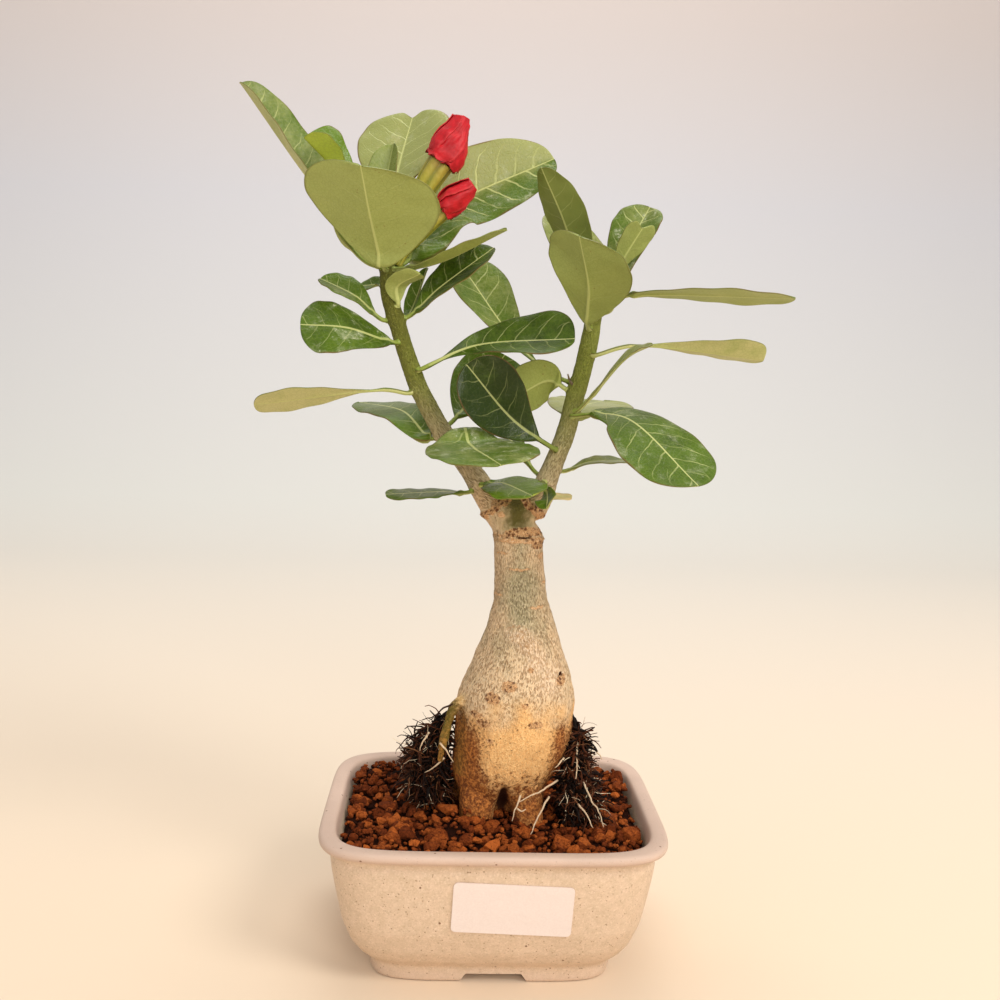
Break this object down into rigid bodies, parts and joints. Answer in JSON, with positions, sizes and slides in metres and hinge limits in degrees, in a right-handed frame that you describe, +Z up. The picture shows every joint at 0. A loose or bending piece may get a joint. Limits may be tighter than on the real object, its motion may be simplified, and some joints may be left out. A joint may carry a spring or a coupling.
{
  "type": "desert rose bonsai",
  "caption": "Potted desert rose bonsai: a swollen trunk on root legs forks into two leafy branches with red buds, in a low rounded rectangular stoneware pot filled with lava granules.",
  "frame": {"origin": "On the surface that the pot stands on, under the middle of the pot.", "axes": "+Z up; -Y is the front, where the label is; +X is to the right seen from the front."},
  "size_m": [0.1965, 0.113, 0.3183],
  "materials": {
    "speckled_stoneware": "cream-beige stoneware with fine brown specks, satin",
    "label_paper": "blank white label, slightly glossy",
    "bark": "smooth tan to grey-green bark with short cross marks, scars and knots",
    "dark_roots": "near-black fibrous root mass with pale rootlets",
    "lava_granules": "rough red-brown lava granules",
    "bud_tube": "smooth ribbed yellow-green flower tube",
    "bud_petals": "satin crimson petals twisted into a closed bud",
    "leaf_green": "leathery leaf, glossy green above with pale veins, pale olive below"
  },
  "bodies": {
    "root": {"pot": "speckled_stoneware", "label": "label_paper", "caudex": "bark", "root_mass_left": "dark_roots", "root_mass_right": "dark_roots", "soil": "lava_granules", "bud_large_tube": "bud_tube", "bud_large_petals": "bud_petals", "bud_small_tube": "bud_tube", "bud_small_petals": "bud_petals", "leaf_left_01": "leaf_green", "leaf_left_02": "leaf_green", "leaf_left_03": "leaf_green", "leaf_left_04": "leaf_green", "leaf_left_05": "leaf_green", "leaf_left_06": "leaf_green", "leaf_left_07": "leaf_green", "leaf_left_08": "leaf_green", "leaf_left_09": "leaf_green", "leaf_left_10": "leaf_green", "leaf_left_11": "leaf_green", "leaf_left_12": "leaf_green", "leaf_left_13": "leaf_green", "leaf_left_14": "leaf_green", "leaf_left_15": "leaf_green", "leaf_left_16": "leaf_green", "leaf_left_17": "leaf_green", "leaf_left_18": "leaf_green", "leaf_left_19": "leaf_green", "leaf_left_20": "leaf_green", "leaf_left_21": "leaf_green", "leaf_right_01": "leaf_green", "leaf_right_02": "leaf_green", "leaf_right_03": "leaf_green", "leaf_right_04": "leaf_green", "leaf_right_05": "leaf_green", "leaf_right_06": "leaf_green", "leaf_right_07": "leaf_green", "leaf_right_08": "leaf_green", "leaf_right_09": "leaf_green", "leaf_right_10": "leaf_green", "leaf_right_11": "leaf_green", "leaf_right_12": "leaf_green", "leaf_right_13": "leaf_green", "leaf_right_14": "leaf_green", "leaf_right_15": "leaf_green", "leaf_right_16": "leaf_green", "leaf_right_17": "leaf_green"}
  },
  "joints": []
}
